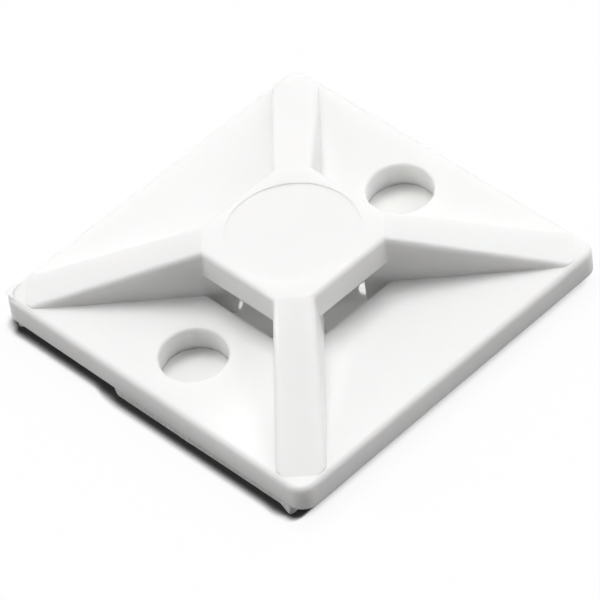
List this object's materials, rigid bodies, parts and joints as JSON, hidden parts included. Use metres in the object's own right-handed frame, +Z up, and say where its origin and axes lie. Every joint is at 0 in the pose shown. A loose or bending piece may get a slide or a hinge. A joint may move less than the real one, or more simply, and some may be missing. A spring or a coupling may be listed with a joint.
{
  "type": "cable tie mount",
  "caption": "Square cable tie mount with a raised crown on corner ribs, screw holes and a foam adhesive pad.",
  "frame": {"origin": "middle of the plate's outline, on the underside of the foam pad", "axes": "+Z up out of the crown, X through the two screw holes, Y across them"},
  "size_m": [0.028, 0.028, 0.0063],
  "materials": {
    "nylon": "satin",
    "foam": "matte"
  },
  "bodies": {
    "root": {"mount_body": "nylon", "foam_pad": "foam"}
  },
  "joints": []
}
